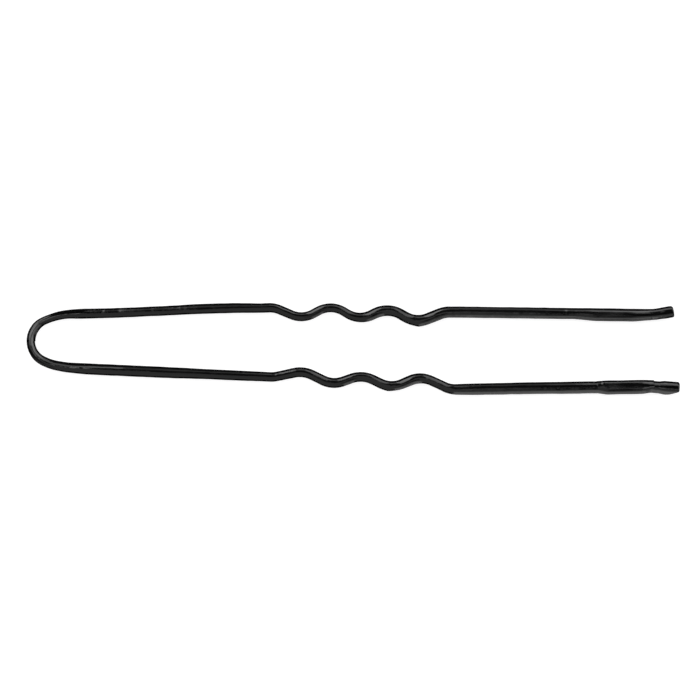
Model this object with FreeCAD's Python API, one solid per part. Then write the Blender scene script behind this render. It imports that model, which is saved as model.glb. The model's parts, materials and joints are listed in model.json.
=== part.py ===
"""Crimped wire hairpin: one bent steel wire, dipped in black lacquer, with a bead behind each tip.

All sizes are in millimetres and degrees. The pin lies flat: +X runs from the bow to the tips,
+Y is the side of the left leg and +Z is up. The origin is the middle of the pin's box, at its bottom.
A leg is laid out in "outward" coordinates, with y growing away from the other leg, and is then
put on its own side. The wire and its film are divided at the two lines where the legs flex.
"""
import FreeCAD
import Part
import math
import os
from dataclasses import dataclass

# Wire
WIRE_DIAMETER = 0.86        # drawn steel wire, before lacquer

# Film of lacquer: thin on the bow, and thickest on the prongs, where the dip drained
BOW_FILM = 0.02
LEFT_SHANK_FILM = 0.075
RIGHT_SHANK_FILM = 0.15
LEFT_CRIMP_FILM = 0.05
RIGHT_CRIMP_FILM = 0.08
LEFT_PRONG_FILM = 0.155
RIGHT_PRONG_FILM = 0.20
SHANK_RUN_IN = 2.0          # length over which the film grows from the bow to the shank
SHANK_RUN_OUT = 8.0         # and changes from the shank to the crimps
PRONG_RUN_IN = 2.0          # and from the crimps to the prong

# Bow
NOSE_RADIUS = 2.38          # wire axis, round end of the bow
NOSE_HALF_SWEEP = 65.0      # turn of the nose on each side of its apex
SHOULDER_RADIUS = 8.0       # wire axis, from the nose to the shank

# Shanks, from the shoulder to the crimps
SHANK_LENGTH = 21.7
LEFT_SPLAY = 2.05
RIGHT_SPLAY = 2.55

# Crimps: the corners of each zigzag before they are rounded
CRIMP_WAVES = 3
LEFT_CRIMP_PITCH = 6.08
RIGHT_CRIMP_PITCH = 6.32
LEFT_CRIMP_INWARD = 1.19    # from the crimp's mid-line to an inward corner
RIGHT_CRIMP_INWARD = 0.83
LEFT_CRIMP_OUTWARD = 0.52   # from the crimp's mid-line to an outward corner
RIGHT_CRIMP_OUTWARD = 0.64
LEFT_CRIMP_EXIT = 0.16      # from the crimp's mid-line to the corner that starts the prong
RIGHT_CRIMP_EXIT = 0.46
LEFT_CRIMP_LEAN = -2.2      # outward slope of the crimp's mid-line
RIGHT_CRIMP_LEAN = 2.65
CRIMP_BEND_RADIUS = 2.75    # wire axis

# Prongs, from the last crimp corner to the kink before the tip
LEFT_PRONG_LENGTH = 22.6
RIGHT_PRONG_LENGTH = 22.1
LEFT_TOE_IN = 0.75
RIGHT_TOE_IN = 0.95

# Tips: the end of the wire is turned out, and pressed to an oval where it was pinched off
TIP_BEND_RADIUS = 4.0
LEFT_KINK = 10.5
RIGHT_KINK = 5.5
LEFT_TIP_LENGTH = 1.85      # from the kink's corner to the cut
RIGHT_TIP_LENGTH = 2.3
PINCH_RUN = 0.8             # from round wire to the full oval
PINCH_THICKNESS = 0.70
LEFT_PINCH_WIDTH = 0.91
RIGHT_PINCH_WIDTH = 1.03
LEFT_CORNER_LENGTH = 0.15   # bevel that the cut leaves on the outward corner
LEFT_CORNER_WIDTH = 0.10
RIGHT_CORNER_LENGTH = 1.10
RIGHT_CORNER_WIDTH = 0.40
RIM_SECTIONS = 3            # sections in the film's rounded rim round the cut

# Tip beads: drops of lacquer that set behind the tips, sagging towards -Y as the pin dried
LEFT_BEAD_LENGTH = 8.2
RIGHT_BEAD_LENGTH = 6.2
LEFT_BEAD_RUN_IN = 2.4
RIGHT_BEAD_RUN_IN = 0.6
LEFT_BEAD_RUN_OUT = 2.2
RIGHT_BEAD_RUN_OUT = 0.5
LEFT_BEAD_BUILD = 0.055     # growth of its radius, lip to full bead
RIGHT_BEAD_BUILD = 0.075
BEAD_LIP = 0.03             # wall at both ends of the bead
BEAD_SAG = 0.06             # shift of its centre
BEAD_SECTIONS = 5           # sections in each run-in and run-out

# Drawing constants
LONGEST_TRIM = 0.45         # most of a run that one rounded corner may take
STRAIGHT = 0.01             # turn, in degrees, that needs no rounding

# Worked-out sizes
WIRE_RADIUS = WIRE_DIAMETER / 2
BOW_RADIUS = WIRE_RADIUS + BOW_FILM
CLEAR_OF_TIP = LEFT_TIP_LENGTH + RIGHT_TIP_LENGTH    # reach of the block that cuts a tip's corner


@dataclass
class Leg:
    """The sizes in which one leg differs from the other."""
    name: str
    side: int
    shank_film: float
    crimp_film: float
    prong_film: float
    splay: float
    crimp_pitch: float
    crimp_inward: float
    crimp_outward: float
    crimp_exit: float
    crimp_lean: float
    prong_length: float
    toe_in: float
    kink: float
    tip_length: float
    pinch_width: float
    corner_length: float
    corner_width: float
    bead_length: float
    bead_run_in: float
    bead_run_out: float
    bead_build: float


LEFT = Leg("left", 1, LEFT_SHANK_FILM, LEFT_CRIMP_FILM, LEFT_PRONG_FILM, LEFT_SPLAY,
           LEFT_CRIMP_PITCH, LEFT_CRIMP_INWARD, LEFT_CRIMP_OUTWARD, LEFT_CRIMP_EXIT, LEFT_CRIMP_LEAN,
           LEFT_PRONG_LENGTH, LEFT_TOE_IN, LEFT_KINK, LEFT_TIP_LENGTH,
           LEFT_PINCH_WIDTH, LEFT_CORNER_LENGTH, LEFT_CORNER_WIDTH,
           LEFT_BEAD_LENGTH, LEFT_BEAD_RUN_IN, LEFT_BEAD_RUN_OUT, LEFT_BEAD_BUILD)
RIGHT = Leg("right", -1, RIGHT_SHANK_FILM, RIGHT_CRIMP_FILM, RIGHT_PRONG_FILM, RIGHT_SPLAY,
            RIGHT_CRIMP_PITCH, RIGHT_CRIMP_INWARD, RIGHT_CRIMP_OUTWARD, RIGHT_CRIMP_EXIT, RIGHT_CRIMP_LEAN,
            RIGHT_PRONG_LENGTH, RIGHT_TOE_IN, RIGHT_KINK, RIGHT_TIP_LENGTH,
            RIGHT_PINCH_WIDTH, RIGHT_CORNER_LENGTH, RIGHT_CORNER_WIDTH,
            RIGHT_BEAD_LENGTH, RIGHT_BEAD_RUN_IN, RIGHT_BEAD_RUN_OUT, RIGHT_BEAD_BUILD)


def unit(angle):
    """Unit vector in the pin's plane, turned outward from +X."""
    turn = math.radians(angle)
    return FreeCAD.Vector(math.cos(turn), math.sin(turn), 0)


def on_side(leg, outward_point):
    """A point in outward coordinates, put on the leg's own side."""
    return FreeCAD.Vector(outward_point.x, leg.side * outward_point.y, outward_point.z)


# Wire axis of the bow, with the nose's centre at zero

SHOULDER_START = 180 - NOSE_HALF_SWEEP
SHOULDER_CENTRE = unit(SHOULDER_START) * (NOSE_RADIUS - SHOULDER_RADIUS)


def on_nose(angle):
    return unit(angle) * NOSE_RADIUS


def on_shoulder(angle):
    return SHOULDER_CENTRE + unit(angle) * SHOULDER_RADIUS


def flex_point(leg):
    """End of the shoulder and start of the shank, where the leg flexes."""
    return on_shoulder(90 + leg.splay)


def shoulder_arc(leg):
    """Wire axis of one shoulder, from the flex line to the nose."""
    shoulder_middle = on_shoulder((90 + leg.splay + SHOULDER_START) / 2)
    points = [flex_point(leg), shoulder_middle, on_shoulder(SHOULDER_START)]
    return [on_side(leg, point) for point in points]


def bow_edges():
    """Wire axis of the bow, from the left flex line round the nose to the right flex line."""
    left_shoulder = shoulder_arc(LEFT)
    right_shoulder = shoulder_arc(RIGHT)
    arcs = [
        Part.Arc(*left_shoulder),
        Part.Arc(left_shoulder[-1], on_nose(180), right_shoulder[-1]),
        Part.Arc(*reversed(right_shoulder)),
    ]
    return [arc.toShape() for arc in arcs]


# Wire axis of a leg

def crimp_corners(leg):
    """Corners of the zigzag: inward and outward by turns, the last one where the prong starts."""
    start = flex_point(leg) + unit(leg.splay) * SHANK_LENGTH
    along = unit(leg.crimp_lean)
    across = unit(leg.crimp_lean + 90)
    last = 2 * CRIMP_WAVES
    corners = [start]
    for corner in range(1, last + 1):
        if corner == last:
            offset = leg.crimp_exit
        elif corner % 2:
            offset = -leg.crimp_inward
        else:
            offset = leg.crimp_outward
        corners.append(start + along * (corner * leg.crimp_pitch / 2) + across * offset)
    return corners


def rounded_corner(before, corner, after, radius):
    """Start, middle and end of the arc that rounds a corner, limited by the shorter run beside it."""
    run_in = corner - before
    run_out = after - corner
    half_turn = run_in.getAngle(run_out) / 2
    if math.degrees(half_turn) * 2 < STRAIGHT:
        return None
    longest_trim = LONGEST_TRIM * min(run_in.Length, run_out.Length)
    trim = min(radius * math.tan(half_turn), longest_trim)
    bend_radius = trim / math.tan(half_turn)
    heading_in = run_in.normalize()
    heading_out = run_out.normalize()
    towards_centre = (heading_out - heading_in).normalize()
    middle = corner + towards_centre * (bend_radius / math.cos(half_turn) - bend_radius)
    return [corner - heading_in * trim, middle, corner + heading_out * trim]


def rounded_route(points, radii):
    """Straight and arc edges through the points, with every inner corner rounded."""
    edges = []
    here = points[0]
    for index in range(1, len(points) - 1):
        arc = rounded_corner(points[index - 1], points[index], points[index + 1], radii[index - 1])
        next_stop = arc[0] if arc else points[index]
        edges.append(Part.LineSegment(here, next_stop).toShape())
        if arc:
            edges.append(Part.Arc(*arc).toShape())
            next_stop = arc[2]
        here = next_stop
    return edges, here


class LegRoute:
    """Wire axis of a leg: straight shank, crimps, straight prong, kink and the start of the tip."""

    def __init__(self, leg):
        corners = crimp_corners(leg)
        self.prong_angle = -leg.toe_in
        self.tip_angle = leg.kink - leg.toe_in
        kink_corner = corners[-1] + unit(self.prong_angle) * leg.prong_length
        cut_end = kink_corner + unit(self.tip_angle) * leg.tip_length
        points = [flex_point(leg)] + corners + [kink_corner, cut_end]
        points = [on_side(leg, point) for point in points]
        radii = [CRIMP_BEND_RADIUS] * len(corners) + [TIP_BEND_RADIUS]
        self.edges, self.tip_start = rounded_route(points, radii)
        straight = [edge for edge in self.edges if isinstance(edge.Curve, Part.Line)]
        prong = straight[-1]
        prong_index = self.edges.index(prong)
        self.crimp_edges = self.edges[1:prong_index]
        self.kink_edges = self.edges[prong_index + 1:]
        self.shank_start = points[0]
        self.shank_run = straight[0].Length
        self.prong_start = prong.valueAt(prong.FirstParameter)
        self.prong_end = prong.valueAt(prong.LastParameter)
        self.prong_run = prong.Length
        self.tip_run = (points[-1] - self.tip_start).Length


# Solids

def swept(edges, radius):
    """Round bar along tangent edges."""
    first = edges[0]
    start = first.valueAt(first.FirstParameter)
    section = Part.Circle(start, first.tangentAt(first.FirstParameter), radius)
    return Part.Wire(edges).makePipeShell([Part.Wire([section.toShape()])], True, False)


def turned(profile, place):
    """Solid of revolution about +X from (along, radius) points, moved to its place."""
    ends = [(profile[0][0], 0), *profile, (profile[-1][0], 0), (profile[0][0], 0)]
    outline = Part.makePolygon([FreeCAD.Vector(along, radius, 0) for along, radius in ends])
    solid = Part.Face(outline).revolve(FreeCAD.Vector(), FreeCAD.Vector(1, 0, 0), 360)
    solid.Placement = place
    return solid


def prism(outline, direction):
    """Block from a closed outline, drawn out by the same length to both sides of its plane."""
    face = Part.Face(Part.makePolygon([*outline, outline[0]]))
    face.translate(direction * -1)
    return face.extrude(direction * 2)


def placed(leg, start, angle):
    """Placement with +X along the leg at an outward angle, starting at a point."""
    return FreeCAD.Placement(start, FreeCAD.Rotation(FreeCAD.Vector(0, 0, 1), leg.side * angle))


def oval(along, half_width, half_height):
    """Closed oval across +X."""
    circle = Part.Circle(FreeCAD.Vector(), FreeCAD.Vector(1, 0, 0), 1).toShape()
    stretch = FreeCAD.Matrix()
    stretch.scale(1, half_width, half_height)
    stretch.move(along, 0, 0)
    return Part.Wire([circle.transformGeometry(stretch)])


def pinched_tip(leg, route, skin):
    """End of the wire under a skin: from round to oval, with a rim rounded by the skin and a cut corner."""
    radius = WIRE_RADIUS + skin
    half_width = leg.pinch_width / 2 + skin
    half_height = PINCH_THICKNESS / 2 + skin
    sections = [oval(0, radius, radius), oval(PINCH_RUN, half_width, half_height)]
    rim_turns = [90 * step / RIM_SECTIONS for step in range(RIM_SECTIONS + 1)] if skin else [0]
    for turn in rim_turns:
        inset = skin * (1 - unit(turn).x)
        sections.append(oval(route.tip_run + skin * unit(turn).y, half_width - inset, half_height - inset))
    blank = Part.makeLoft(sections, True, True)
    length = route.tip_run + skin
    over = CLEAR_OF_TIP
    slope = leg.corner_width / leg.corner_length
    skin_step = skin * (math.hypot(1, slope) - slope - 1)
    foot = half_width - leg.corner_width + skin_step
    rise = over * slope
    corner = [(length + over, foot - rise), (length - over, foot + rise), (length + over, foot + rise)]
    outline = [FreeCAD.Vector(along, leg.side * outward, 0) for along, outward in corner]
    blank = blank.cut(prism(outline, FreeCAD.Vector(0, 0, over)))
    blank.Placement = placed(leg, route.tip_start, route.tip_angle)
    return blank


def leg_core(leg, route):
    """Steel of one leg, from the flex line to the cut."""
    return swept(route.edges, WIRE_RADIUS).fuse(pinched_tip(leg, route, 0))


def leg_skin(leg, route):
    """Outside of the lacquered leg, whose film changes from the shank to the crimps and the prong."""
    shank_radius = WIRE_RADIUS + leg.shank_film
    crimp_radius = WIRE_RADIUS + leg.crimp_film
    prong_radius = WIRE_RADIUS + leg.prong_film
    shank = [(0, BOW_RADIUS), (SHANK_RUN_IN, shank_radius),
             (route.shank_run - SHANK_RUN_OUT, shank_radius), (route.shank_run, crimp_radius)]
    prong = [(0, crimp_radius), (PRONG_RUN_IN, prong_radius), (route.prong_run, prong_radius)]
    pieces = [
        turned(shank, placed(leg, route.shank_start, leg.splay)),
        turned(prong, placed(leg, route.prong_start, route.prong_angle)),
        pinched_tip(leg, route, leg.prong_film),
    ]
    if route.kink_edges:
        pieces.append(swept(route.kink_edges, prong_radius))
    return swept(route.crimp_edges, crimp_radius).fuse(pieces)


def eased(share):
    """Smooth step from 0 to 1."""
    share = min(max(share, 0), 1)
    return share * share * (3 - 2 * share)


def tip_bead(leg, route):
    """Sleeve of lacquer round the prong: circles that grow, sag towards -Y and shrink again at the tip."""
    prong_radius = WIRE_RADIUS + leg.prong_film
    steps = [step / BEAD_SECTIONS for step in range(BEAD_SECTIONS + 1)]
    stations = [step * leg.bead_run_in for step in steps]
    stations += [leg.bead_length - step * leg.bead_run_out for step in reversed(steps)]
    sections = []
    for station in stations:
        swell = eased(station / leg.bead_run_in) * eased((leg.bead_length - station) / leg.bead_run_out)
        radius = prong_radius + BEAD_LIP + swell * leg.bead_build
        centre = FreeCAD.Vector(station, -swell * BEAD_SAG, 0)
        circle = Part.Circle(centre, FreeCAD.Vector(1, 0, 0), radius)
        sections.append(Part.Wire([circle.toShape()]))
    drop = Part.makeLoft(sections, True, True)
    bore = Part.makeCylinder(prong_radius, leg.bead_length, FreeCAD.Vector(), FreeCAD.Vector(1, 0, 0))
    bead = drop.cut(bore)
    start = route.prong_end + on_side(leg, unit(route.prong_angle)) * -leg.bead_length
    bead.Placement = placed(leg, start, route.prong_angle)
    return bead


# Build

bow_path = bow_edges()
bow_core = swept(bow_path, WIRE_RADIUS)
nodes = {
    "bow_wire": bow_core,
    "bow_lacquer": swept(bow_path, BOW_RADIUS).cut(bow_core),
}
routes = {}
for leg in (LEFT, RIGHT):
    route = LegRoute(leg)
    core = leg_core(leg, route)
    nodes[leg.name + "_leg_wire"] = core
    nodes[leg.name + "_leg_lacquer"] = leg_skin(leg, route).cut(core)
    nodes[leg.name + "_tip_bead"] = tip_bead(leg, route)
    routes[leg.name] = route

box = FreeCAD.BoundBox()
for shape in nodes.values():
    box.add(shape.optimalBoundingBox(False, False))
to_origin = FreeCAD.Vector(-box.Center.x, -box.Center.y, -box.ZMin)

os.makedirs("parts", exist_ok=True)
for name, shape in nodes.items():
    shape.translate(to_origin)
    shape.exportStep(os.path.join("parts", name + ".step"))
    print(f"{name}: {len(shape.Solids)} solid, valid {shape.isValid()}, volume {shape.Volume:.4f} mm3")

wire_section = math.pi * WIRE_RADIUS ** 2
bow_length = sum(edge.Length for edge in bow_path)
print(f"box {box.XLength:.3f} x {box.YLength:.3f} x {box.ZLength:.3f} mm")
print(f"wire axis height {to_origin.z:.4f} mm")
print(f"bow wire: section times length {wire_section * bow_length:.4f}, solid {bow_core.Volume:.4f} mm3")
for leg in (LEFT, RIGHT):
    route = routes[leg.name]
    axis_length = sum(edge.Length for edge in route.edges)
    flex = on_side(leg, flex_point(leg)) + to_origin
    bends = [edge.Curve.Radius for edge in route.edges if isinstance(edge.Curve, Part.Circle)]
    print(f"{leg.name} leg: flex line at {flex.x:.4f}, {flex.y:.4f}, {flex.z:.4f} mm,",
          f"section times length {wire_section * axis_length:.4f} mm3 before the tip,",
          f"bend radii {', '.join(f'{radius:.2f}' for radius in bends)} mm")
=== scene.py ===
# %% [markdown]
# # A crimped wire hairpin
# The pin is one spring steel wire. It is bent to a bow with two crimped legs, and then dipped in black
# lacquer, which dries to a thin film with a thick bead behind each tip. The lacquer is all that shows, so
# this lesson is about one skin: the route that it follows, its section, its lumps and its gloss.
#
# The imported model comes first. It holds the wire, and the two lines where the legs flex. Everything made
# below lies where it says, in the same frame.

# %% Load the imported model
import json
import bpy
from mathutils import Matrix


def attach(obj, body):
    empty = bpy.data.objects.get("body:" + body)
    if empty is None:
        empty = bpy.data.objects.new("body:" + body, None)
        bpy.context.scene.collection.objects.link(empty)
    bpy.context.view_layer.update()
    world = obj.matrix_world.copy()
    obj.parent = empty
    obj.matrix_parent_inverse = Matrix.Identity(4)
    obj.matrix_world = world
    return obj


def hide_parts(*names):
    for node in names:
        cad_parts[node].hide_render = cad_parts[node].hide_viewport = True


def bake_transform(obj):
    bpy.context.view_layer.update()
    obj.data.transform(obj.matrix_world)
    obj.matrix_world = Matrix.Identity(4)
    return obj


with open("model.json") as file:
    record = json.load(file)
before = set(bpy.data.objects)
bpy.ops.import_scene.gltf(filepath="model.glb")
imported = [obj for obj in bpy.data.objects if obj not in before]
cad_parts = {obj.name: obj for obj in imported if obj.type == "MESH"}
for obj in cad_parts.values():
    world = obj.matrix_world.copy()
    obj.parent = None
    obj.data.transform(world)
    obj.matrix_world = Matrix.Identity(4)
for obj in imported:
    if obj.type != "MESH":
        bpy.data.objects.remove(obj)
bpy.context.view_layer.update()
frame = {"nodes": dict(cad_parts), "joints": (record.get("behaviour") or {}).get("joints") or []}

from types import SimpleNamespace

import bpy
import numpy as np
from mathutils import Matrix, Vector

print("nodes:", ", ".join(sorted(frame["nodes"])))

# %% [markdown]
# ## The route of the wire
# A bending machine makes such a pin from one straight wire: it feeds a length, bends by an angle, and feeds
# again. The route is written down in the same way, as pairs of a length and a turn. A hand-drawn curve would
# also do, but its bends would never be true arcs.
#
# Sizes are in millimetres and degrees, and are those of the model. A leg is laid out in the complex plane:
# x runs along the pin from the bow to the tips, and y points outward, away from the other leg.

# %% Sizes of the bow, the crimps and the two legs
NOSE_RADIUS = 2.38
NOSE_HALF_SWEEP = 65.0
SHOULDER_RADIUS = 8.0
SHANK_LENGTH = 21.7
CRIMP_WAVES = 3
CRIMP_BEND_RADIUS = 2.75
TIP_BEND_RADIUS = 4.0
LONGEST_TRIM = 0.45

LEFT = SimpleNamespace(
    name="left", side=1, splay=2.05,
    crimp_pitch=6.08, crimp_inward=1.19, crimp_outward=0.52, crimp_exit=0.16, crimp_lean=-2.2,
    prong_length=22.6, toe_in=0.75, kink=10.5, tip_length=1.85)
RIGHT = SimpleNamespace(
    name="right", side=-1, splay=2.55,
    crimp_pitch=6.32, crimp_inward=0.83, crimp_outward=0.64, crimp_exit=0.46, crimp_lean=2.65,
    prong_length=22.1, toe_in=0.95, kink=5.5, tip_length=2.3)

print("crimps:", CRIMP_WAVES, "waves of", LEFT.crimp_pitch, "and", RIGHT.crimp_pitch, "mm")


# %% Corners of a leg, and the runs between them
def facing(angle):
    """Unit number in the complex plane, turned by an angle in degrees."""
    return np.exp(1j * np.radians(angle))


def leg_corners(leg):
    """Corners of a leg from its flex line to the cut. The zigzag steps by half a pitch, in and out by
    turns."""
    crimp_start = SHANK_LENGTH * facing(leg.splay)
    count = np.arange(1, 2 * CRIMP_WAVES + 1)
    offset = np.where(count % 2 == 1, -leg.crimp_inward, leg.crimp_outward)
    offset[-1] = leg.crimp_exit
    crimps = crimp_start + facing(leg.crimp_lean) * (count * leg.crimp_pitch / 2 + 1j * offset)
    kink = crimps[-1] + leg.prong_length * facing(-leg.toe_in)
    cut = kink + leg.tip_length * facing(leg.kink - leg.toe_in)
    return np.concatenate([[0, crimp_start], crimps, [kink, cut]])


def bent_runs(leg):
    """Length and turn of every run from the apex of the bow to the cut. A rounded corner takes
    radius x tan(half turn) off both runs beside it, and its arc is radius x turn long."""
    run = np.diff(leg_corners(leg))
    turn = np.angle(run[1:] / run[:-1])
    tangent = np.tan(np.abs(turn) / 2)
    radius = np.full(len(turn), CRIMP_BEND_RADIUS)
    radius[-1] = TIP_BEND_RADIUS
    shorter = np.minimum(np.abs(run[1:]), np.abs(run[:-1]))
    trim = np.minimum(radius * tangent, LONGEST_TRIM * shorter)
    straight = np.abs(run)
    straight[1:] -= trim
    straight[:-1] -= trim
    bow_turn = np.radians([NOSE_HALF_SWEEP, 90 - NOSE_HALF_SWEEP - leg.splay])
    lengths = np.zeros(len(run) + len(turn))
    lengths[0::2] = straight
    lengths[1::2] = trim / tangent * np.abs(turn)
    turns = np.zeros(len(lengths))
    turns[1::2] = turn
    lengths = np.concatenate([bow_turn * [NOSE_RADIUS, SHOULDER_RADIUS], lengths])
    return lengths, np.concatenate([-bow_turn, turns])


for leg in (LEFT, RIGHT):
    print(leg.name, "leg:", len(bent_runs(leg)[0]), "runs,", round(bent_runs(leg)[0].sum(), 2), "mm of wire")


# %% The wire's axis as a function of length
# The runs are the nose, the shoulder, the shank, then bends and straight runs by turns, up to the tip.
SHANK_RUN, FIRST_BEND, KINK_RUN, TIP_RUN = 2, 3, -2, -1


class WireAxis:
    """Chain of arcs and straight runs. A run of length d that turns by t has the chord d sin(t/2) / (t/2),
    and the chord points half a turn on from the run's first heading."""

    def __init__(self, leg):
        length, turn = bent_runs(leg)
        self.leg = leg
        self.turn_rate = turn / length
        self.heading = np.pi / 2 + np.cumsum(turn) - turn
        chord = length * np.sinc(turn / (2 * np.pi)) * np.exp(1j * (self.heading + turn / 2))
        self.place = -NOSE_RADIUS + np.cumsum(chord) - chord
        self.start = np.cumsum(length) - length
        self.cut = length.sum()
        self.flex, self.kink, self.tip = self.start[[SHANK_RUN, KINK_RUN, TIP_RUN]]

    def at(self, station):
        """Place, heading and turn per mm at a length along the wire."""
        run = np.clip(np.searchsorted(self.start, station, side="right") - 1, 0, None)
        gone = station - self.start[run]
        turned = gone * self.turn_rate[run]
        chord = gone * np.sinc(turned / (2 * np.pi)) * np.exp(1j * (self.heading[run] + turned / 2))
        return self.place[run] + chord, self.heading[run] + turned, self.turn_rate[run]


AXES = {leg.name: WireAxis(leg) for leg in (LEFT, RIGHT)}
for axis in AXES.values():
    print(axis.leg.name, "axis: flex line at", round(axis.flex, 3), "mm, cut at", round(axis.cut, 3), "mm")

# %% [markdown]
# ## From the route to the frame
# The two flex joints of the model lie on the wire's axis, where the shoulders end. The route passes through
# the same two points, so the joints tell where the centre of the bow's nose is in the frame. Both legs have
# to give the same place, which tests that the route is the model's.

# %% Place the nose's centre by the joints
MM = 0.001
JOINTS = {joint["child"]: Vector(joint["pos_m"]) for joint in frame["joints"]}


def nose_centre(axis):
    """Centre of the nose in millimetres, from one leg's joint and its flex point on the route."""
    joint = np.array(JOINTS[axis.leg.name + "_leg"]) / MM
    flex_place = axis.at(axis.flex)[0]
    return joint - [flex_place.real, axis.leg.side * flex_place.imag, 0]


NOSE_CENTRE = nose_centre(AXES["left"])
print("nose centre", NOSE_CENTRE.round(4), "mm; legs differ by",
      np.abs(NOSE_CENTRE - nose_centre(AXES["right"])).max().round(5), "mm")


def beside_wire(axis, station, outward, up):
    """Points beside the wire, in mm: the axis, plus a step along its left-hand normal, plus a height."""
    place, heading, _ = axis.at(station)
    spot = place + outward * 1j * np.exp(1j * heading)
    offset = np.stack([spot.real, axis.leg.side * spot.imag, up + 0 * spot.real], axis=-1)
    return NOSE_CENTRE + offset


# %% [markdown]
# ## From a grid of points to a mesh
# Each skin is a grid: rows of rings along the wire, and columns around it. The ring closes on itself. The
# rows either end in a pole at both ends, as in a sock that is turned in on itself, or close up as well, as
# in a sleeve. The faces come from the grid's own numbering, so no loop runs over them.
#
# Every point also keeps the place that it would have if the wire were straight: length along, outward, up.
# The finish reads that attribute, so its streaks follow the wire round each bend, with no seam.

# %% Mesh of a grid of rings
def grid_quads(rows, columns, closed):
    """Corner numbers of the quads between each ring and the next, and between the last and the first."""
    number = np.arange(rows * columns).reshape(rows, columns)
    following = np.roll(number, -1, axis=0)
    if not closed:
        number, following = number[:-1], following[:-1]
    beside, across = np.roll(number, -1, axis=1), np.roll(following, -1, axis=1)
    return np.stack([number, beside, across, following], axis=-1).reshape(-1, 4)


def pole_fans(rows, columns):
    """Corner numbers of the triangles that close the first and the last ring on a pole each."""
    first = np.arange(columns)
    last = first + (rows - 1) * columns
    low = np.full(columns, rows * columns)
    front = np.stack([low, np.roll(first, -1), first], axis=-1)
    back = np.stack([low + 1, last, np.roll(last, -1)], axis=-1)
    return np.concatenate([front, back])


def inside_out(points, triangles):
    """True if the faces point inward: the tetrahedra from zero to each face then add up to less than
    nothing."""
    a, b, c = (points[triangles[:, corner]] for corner in range(3))
    return np.einsum("ij,ij->", a, np.cross(b, c)) < 0


def skin_piece(name, grid, straight, closed, sharp_rows=()):
    """Smooth object from a grid of points in mm, with the straightened place kept as an attribute."""
    rows, columns, _ = grid.shape
    points = grid.reshape(-1, 3)
    unbent = straight.reshape(-1, 3)
    quads = grid_quads(rows, columns, closed)
    fans = np.zeros((0, 3), int)
    if not closed:
        fans = pole_fans(rows, columns)
        points = np.concatenate([points, grid[[0, -1]].mean(axis=1)])
        unbent = np.concatenate([unbent, straight[[0, -1]].mean(axis=1)])
    triangles = np.concatenate([quads[:, :3], quads[:, [0, 2, 3]], fans])
    if inside_out(points - points.mean(axis=0), triangles):
        quads, fans = quads[:, ::-1], fans[:, ::-1]
    mesh = bpy.data.meshes.new(name)
    mesh.from_pydata((points * MM).tolist(), [], quads.tolist() + fans.tolist())
    mesh.shade_smooth()
    place = mesh.attributes.new("straight_place", "FLOAT_VECTOR", "POINT")
    place.data.foreach_set("vector", unbent.ravel())
    if len(sharp_rows):
        ends = np.zeros(2 * len(mesh.edges), int)
        mesh.edges.foreach_get("vertices", ends)
        ring = ends.reshape(-1, 2) // columns
        sharp = (ring[:, 0] == ring[:, 1]) & np.isin(ring[:, 0], sharp_rows)
        mesh.attributes.new("sharp_edge", "BOOLEAN", "EDGE").data.foreach_set("value", sharp)
    piece = bpy.data.objects.new(name, mesh)
    bpy.context.scene.collection.objects.link(piece)
    print(name, "has", len(triangles), "triangles")
    return piece


# %% [markdown]
# ## Lumps in the lacquer
# A dipped film is never even. It dries in low swells of a millimetre or so, and these are what breaks the
# highlight on the straight runs into dashes. A sum of sines would show its beat, so the swells come from a
# lattice of random heights, eased from each one to the next. The lattice closes on itself around the wire.

# %% Random swells
def eased(share):
    """Smooth step from 0 to 1: 3t^2 - 2t^3."""
    share = np.clip(share, 0, 1)
    return share * share * (3 - 2 * share)


def swells(station, angle, spacing, cells, seed):
    """Heights from 0 to 1 on a lattice: one row for each spacing along the wire, and cells around it."""
    along = station / spacing
    around = np.mod(angle / (2 * np.pi), 1) * cells
    row, column = np.floor(along).astype(int), np.floor(around).astype(int)
    heights = np.random.default_rng(seed).uniform(0, 1, (row.max() + 2, cells))
    near = eased(around - column)
    this_row = heights[row, column % cells] * (1 - near) + heights[row, (column + 1) % cells] * near
    next_row = heights[row + 1, column % cells] * (1 - near) + heights[row + 1, (column + 1) % cells] * near
    return this_row + (next_row - this_row) * eased(along - row)


COLUMNS = 48
AROUND = 2 * np.pi * np.arange(COLUMNS) / COLUMNS
TRIAL_RUN = np.arange(0, 60, 0.1)[:, None]
trial = swells(TRIAL_RUN, AROUND, spacing=1.1, cells=5, seed=1)
print("swells run from", trial.min().round(3), "to", trial.max().round(3))

# %% [markdown]
# ## The film of lacquer
# On the real pin the film is one skin, from one cut end over the bow to the other. Here it is two, which
# meet at the apex of the bow, one along each leg, since a piece can bend across one joint only. Both are
# true films, with an outer wall on the air and an inner wall on the steel, turned in on itself at the apex
# like the rim of a sock.
#
# The film is thin on the bow and thick on the prong, where the dip drained. It also sags: gauged at sixteen
# places along each leg, it is thicker now on the outward side, now on the inward one. So the section is two
# half ovals that share their height. Under one crimp of each leg a last drop hung and set to a point. At the
# tip the film follows the pinched wire, and closes over the cut with a rounded rim. The right tip's outward
# corner was sheared off by the cutter.

# %% Sizes of the film and the tips
WIRE_RADIUS = 0.43
LEFT.prong_film, RIGHT.prong_film = 0.155, 0.20
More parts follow.
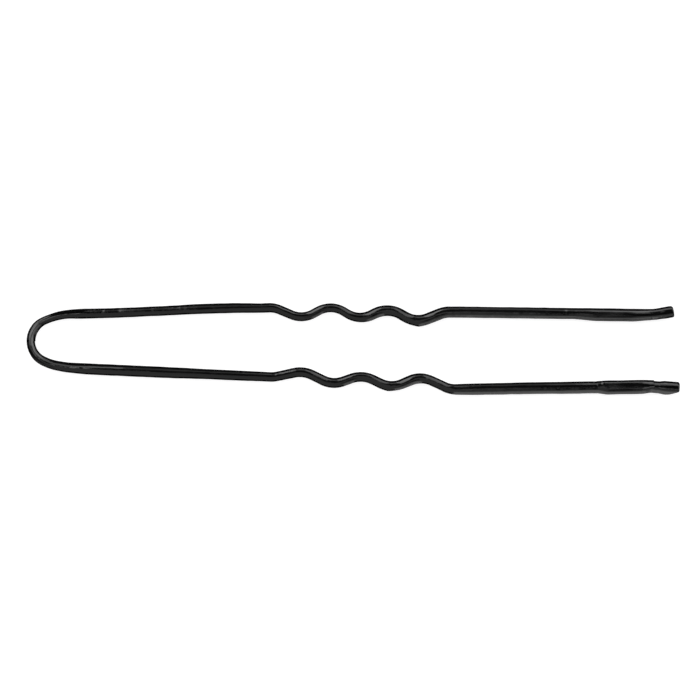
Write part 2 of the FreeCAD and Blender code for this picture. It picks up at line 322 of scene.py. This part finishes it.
# Each row is a length along the wire from the apex, and the film on the outward and on the inward side.
LEFT.film_gauge = (
    (0.0, 0.020, 0.075), (1.2, 0.045, 0.080), (3.0, 0.030, 0.015), (5.0, 0.065, 0.035), (7.0, 0.115, 0.110),
    (11.0, 0.070, 0.140), (15.0, 0.100, 0.100), (20.0, 0.185, 0.055), (23.0, 0.165, 0.075),
    (26.5, 0.020, 0.165), (30.0, 0.030, 0.115), (35.5, 0.105, 0.030), (40.0, 0.120, 0.210),
    (43.0, 0.180, 0.115), (46.0, 0.185, 0.200), (50.0, 0.195, 0.175))
RIGHT.film_gauge = (
    (0.0, 0.020, 0.030), (3.0, 0.075, 0.110), (5.0, 0.065, 0.185), (8.0, 0.190, 0.180), (15.0, 0.190, 0.180),
    (21.0, 0.115, 0.140), (27.0, 0.090, 0.115), (30.5, 0.110, 0.120), (33.0, 0.060, 0.195),
    (38.0, 0.190, 0.030), (41.0, 0.070, 0.130), (43.0, 0.125, 0.170), (46.0, 0.065, 0.135),
    (50.0, 0.200, 0.205), (56.0, 0.200, 0.235), (61.0, 0.240, 0.225))
PINCH_RUN = 0.8
PINCH_HALF_THICKNESS = 0.35
LEFT.pinch_half_width, RIGHT.pinch_half_width = 0.455, 0.515
LEFT.tip_half_width, RIGHT.tip_half_width = 0.63, 0.735
LEFT.tip_half_height, RIGHT.tip_half_height = 0.57, 0.63
LEFT.corner_length, RIGHT.corner_length = 0.15, 1.10
LEFT.corner_width, RIGHT.corner_width = 0.10, 0.40
LEFT.tip_drift, RIGHT.tip_drift = 0.02, 0.09
CORNER_SOFTNESS = 0.05

print("film: gauged at", len(LEFT.film_gauge), "and", len(RIGHT.film_gauge), "places")


# %% Section of the film
def softly_below(value, limit):
    """A value kept below a limit, with a rounded knee: v - s log(1 + exp((v - limit) / s))."""
    return value - CORNER_SOFTNESS * np.logaddexp(0, (value - limit) / CORNER_SOFTNESS)


def gauged_film(axis, station):
    """Film on the outward and the inward side, eased from each gauged place to the next."""
    place, outward, inward = np.array(axis.leg.film_gauge).T
    row = np.clip(np.searchsorted(place, station, side="right") - 1, 0, len(place) - 2)
    share = eased((station - place[row]) / (place[row + 1] - place[row]))
    return [film[row] + share * (film[row + 1] - film[row]) for film in (outward, inward)]


def two_half_ovals(outer_half, inner_half, half_height):
    """Outward and up of the points of a ring: (a cos t, b sin t), with its own a on each side."""
    reach = np.where(np.cos(AROUND) > 0, outer_half, inner_half)
    return reach * np.cos(AROUND), half_height * np.sin(AROUND)


def pinched_section(axis, station, radii, tip_half_width, tip_half_height, scale):
    """Rings that turn from round to the tip's oval past the tip's start. The corner's slope cuts the outward
    side near the end."""
    leg = axis.leg
    share = eased((station - axis.tip) / PINCH_RUN)
    halves = [radius + share * (tip_half_width - radius) for radius in radii]
    half_height = sum(radii) / 2 * (1 - share) + tip_half_height * share
    outward, up = two_half_ovals(*halves, half_height)
    slope = leg.corner_width / leg.corner_length
    end = axis.cut + tip_half_width - leg.pinch_half_width
    cut_line = tip_half_width - leg.corner_width + slope * (end - station)
    return scale * np.where(station > axis.tip, softly_below(outward, cut_line), outward), scale * up


# %% Rings of the outer and the inner wall
RING_STEP = 0.08
TIP_RING_STEP = 0.04
INNER_RING_STEP = 0.25
EDGE_RINGS = 9
FACE_RINGS = 5
CORE_CLEARANCE = 0.003
CORE_FACE_SCALES = (0.3, 0.7)
LUMP_DEPTH, LUMP_SPACING, LUMP_CELLS, LUMP_SEED = 0.020, 0.9, 5, 10
FINE_DEPTH, FINE_SPACING, FINE_CELLS, FINE_SEED = 0.006, 0.35, 9, 15
NIB_HEIGHT, NIB_SPACING, NIB_CELLS, NIB_SEED = 0.006, 0.45, 11, 19
NIB_RARITY = 0.78
CALM_AT_APEX = 1.5
LEFT.drop_bend, RIGHT.drop_bend = 5, 4
LEFT.drop_height, RIGHT.drop_height = 0.12, 0.10
LEFT.drop_shift, RIGHT.drop_shift = 0.3, -0.3
DROP_LENGTH = 0.55


def spaced(first, last, step):
    """Stations from first to last, evenly spaced by about a step."""
    return np.linspace(first, last, int(np.ceil(abs(last - first) / step)) + 1)


def closing_rings(axis):
    """Stations and scales of the rings over the cut: a quarter-round rim of the film's thickness, then the
    flat face."""
    film = axis.leg.prong_film
    turn = np.linspace(0, np.pi / 2, EDGE_RINGS)
    rim_scale = 1 - film / (axis.leg.pinch_half_width + film) * (1 - np.cos(turn))
    rim_station = axis.cut + film * np.sin(turn)
    face_scale = rim_scale[-1] * (1 - np.arange(1, FACE_RINGS + 1) / (FACE_RINGS + 1))
    return np.append(rim_station, np.full(FACE_RINGS, rim_station[-1])), np.append(rim_scale, face_scale)


def lump_depth(axis, station):
    """How far the film's surface lies below its full radius: broad and fine swells, none at the apex. The
    rare high places of a third set stand out of it as nibs of dust."""
    side = axis.leg.side
    broad = LUMP_DEPTH * swells(station, AROUND, LUMP_SPACING, LUMP_CELLS, LUMP_SEED + side)
    fine = FINE_DEPTH * swells(station, AROUND, FINE_SPACING, FINE_CELLS, FINE_SEED + side)
    dust = swells(station, AROUND, NIB_SPACING, NIB_CELLS, NIB_SEED + side)
    nibs = eased((dust - NIB_RARITY) / (1 - NIB_RARITY))
    return (broad + fine - NIB_HEIGHT * nibs) * eased(station / CALM_AT_APEX)


def hanging_drop(axis, station):
    """Pointed drop on the -Y side of one crimp's bend: height x exp(-|distance| / length)."""
    leg = axis.leg
    bend = FIRST_BEND + 2 * leg.drop_bend
    middle = axis.start[bend:bend + 2].mean() + leg.drop_shift
    lower_side = np.clip(-leg.side * np.cos(AROUND), 0, 1) ** 2
    return leg.drop_height * np.exp(-np.abs(station - middle) / DROP_LENGTH) * lower_side


def outer_wall(axis):
    """Station, outward and up of the rings on the air side, from the apex to the middle of the cut face."""
    leg = axis.leg
    cap_station, cap_scale = closing_rings(axis)
    run = spaced(0, axis.kink, RING_STEP)[:-1]
    tip_run = spaced(axis.kink, cap_station[0], TIP_RING_STEP)[:-1]
    station = np.concatenate([run, tip_run, cap_station])[:, None]
    scale = np.concatenate([np.ones(len(run) + len(tip_run)), cap_scale])[:, None]
    depth = lump_depth(axis, station) - hanging_drop(axis, station)
    radii = [WIRE_RADIUS + film - depth for film in gauged_film(axis, station)]
    outward, up = pinched_section(axis, station, radii, leg.tip_half_width, leg.tip_half_height, scale)
    drift_start = axis.kink - PINCH_RUN
    drift = leg.tip_drift * eased((station - drift_start) / (axis.tip - drift_start))
    return station, outward + drift, up


def inner_wall(axis):
    """Station, outward and up of the rings on the steel side, from the middle of the wire's cut to the
    apex."""
    end = axis.cut + CORE_CLEARANCE
    run = spaced(end, 0, INNER_RING_STEP)
    station = np.append(np.full(len(CORE_FACE_SCALES), end), run)[:, None]
    scale = np.append(CORE_FACE_SCALES, np.ones(len(run)))[:, None]
    radii = [WIRE_RADIUS + CORE_CLEARANCE] * 2
    half_width = axis.leg.pinch_half_width + CORE_CLEARANCE
    half_height = PINCH_HALF_THICKNESS + CORE_CLEARANCE
    outward, up = pinched_section(axis, station, radii, half_width, half_height, scale)
    return station, outward, up


# %% Make the two films
FLEX_REACH = 3.4


def wire_skin(name, axis, station, outward, up, closed=False, sharp_rows=()):
    """Piece beside the wire, from the station, outward and up of the points of its rings."""
    grid = beside_wire(axis, station, outward, up)
    straight = np.stack(np.broadcast_arrays(station, outward, up), axis=-1)
    return skin_piece(name, grid, straight, closed, sharp_rows)


def lacquer_film(axis):
    """The two walls as one sock, whose rim at the apex has sharp edges."""
    inner, outer = inner_wall(axis), outer_wall(axis)
    rings = [np.concatenate(pair) for pair in zip(inner, outer)]
    rim = len(inner[0]) - 1
    return wire_skin(axis.leg.name + "_film", axis, *rings, sharp_rows=[rim, rim + 1])


def row_point(axis, station):
    return tuple(beside_wire(axis, np.array(station), 0, 0) * MM)


def bend_at_flex(piece, axis):
    """Bakes the piece's place into its mesh, and prints the span of wire around the flex line."""
    flex = Vector(row_point(axis, axis.flex))
    onward = Vector(row_point(axis, axis.flex + FLEX_REACH)) - flex
    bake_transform(piece)
    print(piece.name, "bends over", round(2 * onward.length / MM, 2), "mm")


films = []
for axis in AXES.values():
    film = lacquer_film(axis)
    bend_at_flex(film, axis)
    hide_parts("bow_lacquer", axis.leg.name + "_leg_lacquer")
    films.append(film)

# %% [markdown]
# ## The wire inside
# Under the film lies the wire. It doesn't show, but it is there, as it is in the real pin, and a scratch
# through the film would bare it. A rigid bow and two rigid legs would cut into each other at the flex lines
# when the pin opens, so the wire is made as two halves that meet at the apex, as the films do.

# %% Make the two halves of the wire
def wire_half(axis):
    """Round rings from the apex to the cut, pinched at the tip, with a flat face at both ends."""
    station = spaced(0, axis.cut, INNER_RING_STEP)[:, None]
    radii = [WIRE_RADIUS] * 2
    outward, up = pinched_section(axis, station, radii, axis.leg.pinch_half_width, PINCH_HALF_THICKNESS, 1)
    ends = [0, len(station) - 1]
    return wire_skin(axis.leg.name + "_wire_half", axis, station, outward, up, sharp_rows=ends)


wires = []
for axis in AXES.values():
    wire = wire_half(axis)
    bend_at_flex(wire, axis)
    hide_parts("bow_wire", axis.leg.name + "_leg_wire")
    wires.append(wire)

# %% [markdown]
# ## The beads behind the tips
# When the pin hangs to dry, lacquer runs down the prongs and sets in a long drop behind each tip. It makes
# the point of the pin blunt. Each drop is a sleeve: its rings rise out of the film, shift to the side where
# the lacquer sagged, and shrink again before the kink. Boolean-joined spheres would give a neater drop than
# the real one. The right bead set with a small blister near its start.

# %% Sizes of the beads
LEFT.bead_lip, RIGHT.bead_lip = 0.0, 0.01
LEFT.bead_sag, RIGHT.bead_sag = 0.072, 0.048
BEAD_LIP_ROUNDING = 0.25
BEAD_BORE_SINK = 0.03
BEAD_RINGS = 130
BEAD_BORE_RINGS = 12
BEAD_LUMP_DEPTH, BEAD_LUMP_SPACING, BEAD_LUMP_CELLS, BEAD_LUMP_SEED = 0.022, 1.3, 5, 30
LEFT.bead_length, RIGHT.bead_length = 8.2, 6.2
LEFT.bead_run_in, RIGHT.bead_run_in = 2.4, 1.3
LEFT.bead_run_out, RIGHT.bead_run_out = 2.2, 1.4
LEFT.bead_base, RIGHT.bead_base = 0.18, 0.225
LEFT.bead_build, RIGHT.bead_build = 0.093, 0.100
LEFT.bead_height, RIGHT.bead_height = 1.0, 0.95
LEFT.bead_squareness, RIGHT.bead_squareness = 2.0, 2.6
LEFT.blister_height, RIGHT.blister_height = 0.0, 0.06
BLISTER_PLACE = 0.75
BLISTER_LENGTH = 0.26
BLISTER_ANGLE = np.radians(140)
BLISTER_SPREAD = np.radians(24)

print("beads:", LEFT.bead_length, "and", RIGHT.bead_length, "mm long")


# %% Make the two beads
def hump(value, middle, width):
    """Bell curve of height 1: exp(-((v - middle) / width)^2)."""
    return np.exp(-((value - middle) / width) ** 2)


def bead_wall(leg, along):
    """Radius of the rings and how far they have swollen: lip, eased swell, blister, and lumps pressed in."""
    to_end = leg.bead_length - along
    swell = eased(along / leg.bead_run_in) * eased(to_end / leg.bead_run_out)
    from_lip = np.clip(np.minimum(along, to_end) / BEAD_LIP_ROUNDING, 0, 1)
    meniscus = np.sqrt(1 - (1 - from_lip) ** 2)
    hollows = swells(along, AROUND, BEAD_LUMP_SPACING, BEAD_LUMP_CELLS, BEAD_LUMP_SEED + leg.side)
    blister = hump(along, BLISTER_PLACE, BLISTER_LENGTH) * hump(AROUND, BLISTER_ANGLE, BLISTER_SPREAD)
    radius = WIRE_RADIUS + leg.bead_base - BEAD_BORE_SINK + (BEAD_BORE_SINK + leg.bead_lip) * meniscus
    radius = radius + swell * (leg.bead_build - BEAD_LUMP_DEPTH * hollows) + leg.blister_height * blister
    return radius, swell


def squared_ring(squareness):
    """Points of a rounded square of half-width 1, |x|^n + |y|^n = 1: r = (|cos|^n + |sin|^n)^(-1/n)."""
    outward, up = np.cos(AROUND), np.sin(AROUND)
    reach = (np.abs(outward) ** squareness + np.abs(up) ** squareness) ** (-1 / squareness)
    return reach * outward, reach * up


def tip_bead(axis):
    """Sleeve round the prong: the outer wall forward, then the bore back again."""
    leg = axis.leg
    sweep = np.linspace(0, np.pi, BEAD_RINGS)
    along = (leg.bead_length * (1 - np.cos(sweep)) / 2)[:, None]
    radius, swell = bead_wall(leg, along)
    bore_along = np.linspace(leg.bead_length, 0, BEAD_BORE_RINGS)[1:-1, None]
    bore_radius = np.full((BEAD_BORE_RINGS - 2, COLUMNS), WIRE_RADIUS + leg.bead_base - BEAD_BORE_SINK)
    station = axis.kink - leg.bead_length + np.concatenate([along, bore_along])
    radius = np.concatenate([radius, bore_radius])
    swell = np.concatenate([swell, np.zeros_like(bore_along)])
    square_out, square_up = squared_ring(leg.bead_squareness)
    ring_out = np.cos(AROUND) + swell * (square_out - np.cos(AROUND))
    ring_up = np.sin(AROUND) + swell * (leg.bead_height * square_up - np.sin(AROUND))
    outward = radius * ring_out - leg.side * swell * leg.bead_sag
    return wire_skin(leg.name + "_bead", axis, station, outward, radius * ring_up, closed=True)


beads = []
for axis in AXES.values():
    bead = tip_bead(axis)
    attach(bead, axis.leg.name + "_leg")
    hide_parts(axis.leg.name + "_tip_bead")
    beads.append(bead)

# %% [markdown]
# ## Finishes that several materials share
# Two effects come back in every coat of lacquer, so each is one node group with its own inputs. Orange peel
# is the fine pebbling of a film that dried before it could level. Drain streaks are the lines that the wire
# was drawn with, which the film follows, and the runs of the dip. Both read the straightened place.

# %% Helpers for node trees
def new_group(name, inputs, outputs):
    """Empty shader node group with named sockets, and its input and output nodes."""
    group = bpy.data.node_groups.new(name, "ShaderNodeTree")
    for label, kind in inputs:
        group.interface.new_socket(label, in_out="INPUT", socket_type=kind)
    for label, kind in outputs:
        group.interface.new_socket(label, in_out="OUTPUT", socket_type=kind)
    return group, group.nodes.new("NodeGroupInput"), group.nodes.new("NodeGroupOutput")


def noise_node(tree, scale, detail):
    """Noise texture of a scale per unit of its vector."""
    noise = tree.nodes.new("ShaderNodeTexNoise")
    noise.inputs["Scale"].default_value = scale
    noise.inputs["Detail"].default_value = detail
    return noise


# %% Group: orange peel
def orange_peel_group():
    """Height of the pebbling, and a slow mask of where the film dried glossier."""
    group, given, made = new_group(
        "orange_peel",
        [("Place", "NodeSocketVector"), ("Pebbles per mm", "NodeSocketFloat")],
        [("Height", "NodeSocketFloat"), ("Gloss", "NodeSocketFloat")])
    pebbles = noise_node(group, scale=1, detail=2)
    gloss = noise_node(group, scale=0.7, detail=3)
    group.links.new(given.outputs["Place"], pebbles.inputs["Vector"])
    group.links.new(given.outputs["Pebbles per mm"], pebbles.inputs["Scale"])
    group.links.new(given.outputs["Place"], gloss.inputs["Vector"])
    group.links.new(pebbles.outputs["Fac"], made.inputs["Height"])
    group.links.new(gloss.outputs["Fac"], made.inputs["Gloss"])
    return group


ORANGE_PEEL = orange_peel_group()
print("group", ORANGE_PEEL.name)


# %% Group: drain streaks
def drain_streaks_group():
    """Noise on a place that is squeezed along the wire, so that it draws out into lines."""
    group, given, made = new_group(
        "drain_streaks",
        [("Place", "NodeSocketVector"), ("Squeeze", "NodeSocketVector")],
        [("Height", "NodeSocketFloat")])
    squeeze = group.nodes.new("ShaderNodeVectorMath")
    squeeze.operation = "MULTIPLY"
    lines = noise_node(group, scale=1, detail=3)
    group.links.new(given.outputs["Place"], squeeze.inputs[0])
    group.links.new(given.outputs["Squeeze"], squeeze.inputs[1])
    group.links.new(squeeze.outputs["Vector"], lines.inputs["Vector"])
    group.links.new(lines.outputs["Fac"], made.inputs["Height"])
    return group


DRAIN_STREAKS = drain_streaks_group()
print("group", DRAIN_STREAKS.name)

# %% [markdown]
# ## Black lacquer
# The film is a black that swallows almost all light, so its look is only gloss: what it mirrors, and how
# sharply. The base colour is close to nothing. Roughness follows the slow gloss mask, and the two groups
# drive one bump of a few thousandths of a millimetre.

# %% Helpers for materials
NOISE_LOW, NOISE_HIGH = 0.3, 0.7


def new_material(name):
    """Material with nodes, its node tree and its main shader."""
    material = bpy.data.materials.new(name)
    material.use_nodes = True
    return material, material.node_tree, material.node_tree.nodes["Principled BSDF"]


def straight_place(tree):
    """Socket with each point's place on the straightened wire, in mm."""
    place = tree.nodes.new("ShaderNodeAttribute")
    place.attribute_name = "straight_place"
    return place.outputs["Vector"]


def group_node(tree, group):
    """Node that uses a shared group."""
    node = tree.nodes.new("ShaderNodeGroup")
    node.node_tree = group
    return node


def map_range(tree, source, low, high):
    """Spreads the middle of a noise over a range of values."""
    node = tree.nodes.new("ShaderNodeMapRange")
    node.inputs["From Min"].default_value = NOISE_LOW
    node.inputs["From Max"].default_value = NOISE_HIGH
    node.inputs["To Min"].default_value = low
    node.inputs["To Max"].default_value = high
    tree.links.new(source, node.inputs["Value"])
    return node.outputs["Result"]


# %% Lacquer materials
STREAK_SQUEEZE = (0.25, 9.0, 9.0)


def lacquer(name, dark, pale, roughness, pebbles, peel_height, streak_height):
    """Gloss black film: colour drifts with the streaks, roughness with the gloss mask, bump from both."""
    material, tree, shader = new_material(name)
    place = straight_place(tree)
    peel = group_node(tree, ORANGE_PEEL)
    peel.inputs["Pebbles per mm"].default_value = pebbles
    streaks = group_node(tree, DRAIN_STREAKS)
    streaks.inputs["Squeeze"].default_value = STREAK_SQUEEZE
    tree.links.new(place, peel.inputs["Place"])
    tree.links.new(place, streaks.inputs["Place"])
    tint = tree.nodes.new("ShaderNodeMix")
    tint.data_type = "RGBA"
    tint.inputs["A"].default_value = (*dark, 1)
    tint.inputs["B"].default_value = (*pale, 1)
    tree.links.new(map_range(tree, streaks.outputs["Height"], 0, 1), tint.inputs["Factor"])
    tree.links.new(tint.outputs["Result"], shader.inputs["Base Color"])
    tree.links.new(map_range(tree, peel.outputs["Gloss"], *roughness), shader.inputs["Roughness"])
    streak_bump = tree.nodes.new("ShaderNodeBump")
    streak_bump.inputs["Distance"].default_value = streak_height * MM
    peel_bump = tree.nodes.new("ShaderNodeBump")
    peel_bump.inputs["Distance"].default_value = peel_height * MM
    tree.links.new(streaks.outputs["Height"], streak_bump.inputs["Height"])
    tree.links.new(peel.outputs["Height"], peel_bump.inputs["Height"])
    tree.links.new(streak_bump.outputs["Normal"], peel_bump.inputs["Normal"])
    tree.links.new(peel_bump.outputs["Normal"], shader.inputs["Normal"])
    return material


BLACK_LACQUER = lacquer(
    "black_lacquer", dark=(0.0020, 0.0020, 0.0021), pale=(0.0045, 0.0045, 0.0047),
    roughness=(0.05, 0.15), pebbles=5.0, peel_height=0.004, streak_height=0.009)
BEAD_LACQUER = lacquer(
    "bead_lacquer", dark=(0.0018, 0.0018, 0.0019), pale=(0.0040, 0.0040, 0.0042),
    roughness=(0.08, 0.20), pebbles=3.5, peel_height=0.005, streak_height=0.008)
for film in films:
    film.data.materials.append(BLACK_LACQUER)
for bead in beads:
    bead.data.materials.append(BEAD_LACQUER)
print("lacquer on", len(films) + len(beads), "pieces")

# %% [markdown]
# ## Drawn steel
# The wire was pulled through a die, which leaves fine lines along it. They are the same effect as the drain
# streaks, only finer, so the steel uses that group again.

# %% Steel of the wire
STEEL_COLOUR = (0.46, 0.46, 0.47)
STEEL_ROUGHNESS = (0.22, 0.42)
STEEL_SQUEEZE = (0.3, 12.0, 12.0)


def drawn_steel():
    """Bright metal whose roughness follows the lines along the wire."""
    material, tree, shader = new_material("drawn_steel")
    shader.inputs["Metallic"].default_value = 1
    shader.inputs["Base Color"].default_value = (*STEEL_COLOUR, 1)
    lines = group_node(tree, DRAIN_STREAKS)
    lines.inputs["Squeeze"].default_value = STEEL_SQUEEZE
    tree.links.new(straight_place(tree), lines.inputs["Place"])
    tree.links.new(map_range(tree, lines.outputs["Height"], *STEEL_ROUGHNESS), shader.inputs["Roughness"])
    return material


DRAWN_STEEL = drawn_steel()
for wire in wires:
    wire.data.materials.append(DRAWN_STEEL)
print("steel on", len(wires), "pieces")

# %% [markdown]
# ## Floor and light
# Black lacquer is lit by what it mirrors, so a photographer lights it with cards, each for one streak. Four
# large cards hang far off. Those on the bow's side and on the tips' side make the bright streaks on the
# flanks of the crimps, and the dim wall and its wing grey the lower side of the wire. Small cards stand
# close to the pin, where each serves one stretch of it: a row behind the left leg draws the thin line along
# the straight runs, two stand low in front of the prongs and the tips, one greys the prongs from above, and
# three light the two bands of the bow. Black flags shade the left shoulder, the outer side of the nose and
# the ends of the tips. The floor glows, so that it stays pale, and isn't mirrored, so that the edges of the
# wire stay dark.

# %% Floor
FLOOR_HALF = 3000.0
FLOOR_PALE = 0.35
FLOOR_GLOW = 0.86


def quad_piece(name, corners, material):
    """Flat quad beside the part, from its four corners in mm."""
    mesh = bpy.data.meshes.new(name)
    mesh.from_pydata((np.array(corners) * MM).tolist(), [], [(0, 1, 2, 3)])
    mesh.materials.append(material)
    quad = bpy.data.objects.new(name, mesh)
    bpy.context.scene.collection.objects.link(quad)
    return quad


def pale_floor():
    """Dull floor with a glow of its own, which the gloss of the pin doesn't see."""
    material, _, shader = new_material("pale_floor")
    shader.inputs["Base Color"].default_value = (FLOOR_PALE, FLOOR_PALE, FLOOR_PALE, 1)
    shader.inputs["Roughness"].default_value = 1
    shader.inputs["Specular IOR Level"].default_value = 0
    shader.inputs["Emission Color"].default_value = (1, 1, 1, 1)
    shader.inputs["Emission Strength"].default_value = FLOOR_GLOW
    half = FLOOR_HALF
    corners = [(-half, -half, 0), (half, -half, 0), (half, half, 0), (-half, half, 0)]
    floor = quad_piece("floor", corners, material)
    floor.visible_glossy = False
    return floor


pale_floor()
print("floor glows at", FLOOR_GLOW)

# %% Cards of light
def card(name, corner, width, height, radiance):
    """Rectangular light of even radiance, given in mm by a corner and two edges. It shines to the side of
    height x width, and its power is pi x area x radiance."""
    corner, width, height = Vector(corner) * MM, Vector(width) * MM, Vector(height) * MM
    light = bpy.data.lights.new(name, "AREA")
    light.shape = "RECTANGLE"
    light.size, light.size_y = width.length, height.length
    light.energy = np.pi * width.length * height.length * radiance
    lamp = bpy.data.objects.new(name, light)
    axes = [edge.normalized() for edge in (width, height, width.cross(height))]
    middle = corner + (width + height) / 2
    lamp.matrix_world = Matrix.Translation(middle) @ Matrix(axes).transposed().to_4x4()
    lamp.visible_camera = False
    bpy.context.scene.collection.objects.link(lamp)
    print(name, "gives", round(light.energy, 5), "W")
    return lamp


card("bow_side_card", corner=(-780, 40, 600), width=(672, 0, 0), height=(0, 600, -420), radiance=3.1)
card("tip_side_card", corner=(108, -150, 600), width=(1300, 0, 0), height=(0, 800, -400), radiance=1.9)
card("dim_wall", corner=(60, -10, 600), width=(-960, 0, 0), height=(0, -830, -600), radiance=0.50)
card("dim_wing", corner=(240, -300, 390), width=(-180, 0, 0), height=(0, -540, -390), radiance=0.45)

# %% Small cards close to the pin, which only its gloss sees
close_cards = [
    card("shank_strip", corner=(-45, 45, 50), width=(35, 0, 0), height=(0, 15, -24), radiance=0.55),
    card("crimp_strip", corner=(-10, 45, 38), width=(21, 0, 0), height=(0, 15, -24), radiance=1.3),
    card("prong_strip", corner=(11, 40, 24), width=(13, 0, 0), height=(0, 0, -28), radiance=0.60),
    card("prong_top", corner=(9, -16, 150), width=(17, 0, 0), height=(0, 48, 0), radiance=0.65),
    card("bead_strip", corner=(23, 28, 20), width=(3.5, 0, 0), height=(0, 0, -16), radiance=0.9),
    card("tip_strip", corner=(26.5, 28, 20), width=(15, 0, 0), height=(0, 0, -16), radiance=1.9),
    card("low_strip", corner=(42, -30, 18), width=(-34, 0, 0), height=(0, 0, -44), radiance=1.2),
    card("tip_wing", corner=(60, -7, 22), width=(-27, 0, 0), height=(0, -23, -20), radiance=0.38),
    card("nose_strip", corner=(-43, 0.2, 12.7), width=(8.8, 0, 0), height=(0, 3.7, 0), radiance=2.4),
    card("shoulder_strip", corner=(-33, 2, 8), width=(8, 0, 0), height=(0, 0, -4.3), radiance=1.6),
    card("inner_strip", corner=(-26, 2.5, 45), width=(0, -10.5, 0), height=(0, 0, -40), radiance=1.6),
]
for lamp in close_cards:
    lamp.visible_diffuse = False

# %% Black flags over the left shoulder, the nose and the tips
SHOULDER_FLAG = [(-38, 6.5, 13.5), (-30, 6.5, 13.5), (-30, 15.5, 4), (-38, 15.5, 4)]
NOSE_FLAG = [(-60, -3.5, 14), (-37.5, -3.5, 14), (-37.5, -14, 10), (-60, -14, 10)]
TIP_FLAG = [(33, -6, 24), (54, -6, 22), (54, 14, 22), (33, 14, 24)]


def black_flag(name, corners):
    """Black quad near the pin, given in mm, which hides the cards behind it. Neither the camera sees it, nor
    does light that bounces off the floor."""
    material, _, shader = new_material("black_cloth")
    shader.inputs["Base Color"].default_value = (0, 0, 0, 1)
    shader.inputs["Specular IOR Level"].default_value = 0
    flag = quad_piece(name, corners, material)
    flag.visible_camera = False
    flag.visible_diffuse = False
    print(name, "hangs", corners[0][2], "mm up at its first corner")
    return flag


black_flag("shoulder_flag", SHOULDER_FLAG)
black_flag("nose_flag", NOSE_FLAG)
black_flag("tip_flag", TIP_FLAG)

# %% Dark room
ROOM_GREY = 0.01

world = bpy.data.worlds.new("dark_room")
world.use_nodes = True
world.node_tree.nodes["Background"].inputs["Color"].default_value = (ROOM_GREY, ROOM_GREY, ROOM_GREY, 1)
bpy.context.scene.world = world
bpy.context.scene.view_settings.view_transform = "Standard"

# %% [markdown]
# ## Camera
# The pin is seen from straight above, with the bow to the left and the left leg at the top. A long lens
# keeps both ends of the wire square to the view.

# %% Camera above the pin
FRAME_WIDTH = 75.12
VIEW_CENTRE = (-0.33, -0.12)
LENS = 135
SENSOR = 36
NEAREST_SEEN = 10.0

camera_data = bpy.data.cameras.new("camera")
camera_data.lens = LENS
camera_data.sensor_width = SENSOR
camera_data.clip_start = NEAREST_SEEN * MM
camera = bpy.data.objects.new("camera", camera_data)
wire_height = NOSE_CENTRE[2]
camera.location = Vector((*VIEW_CENTRE, wire_height + FRAME_WIDTH * LENS / SENSOR)) * MM
bpy.context.scene.collection.objects.link(camera)
bpy.context.scene.camera = camera
print("camera is", round(camera.location.z / MM, 1), "mm above the floor")
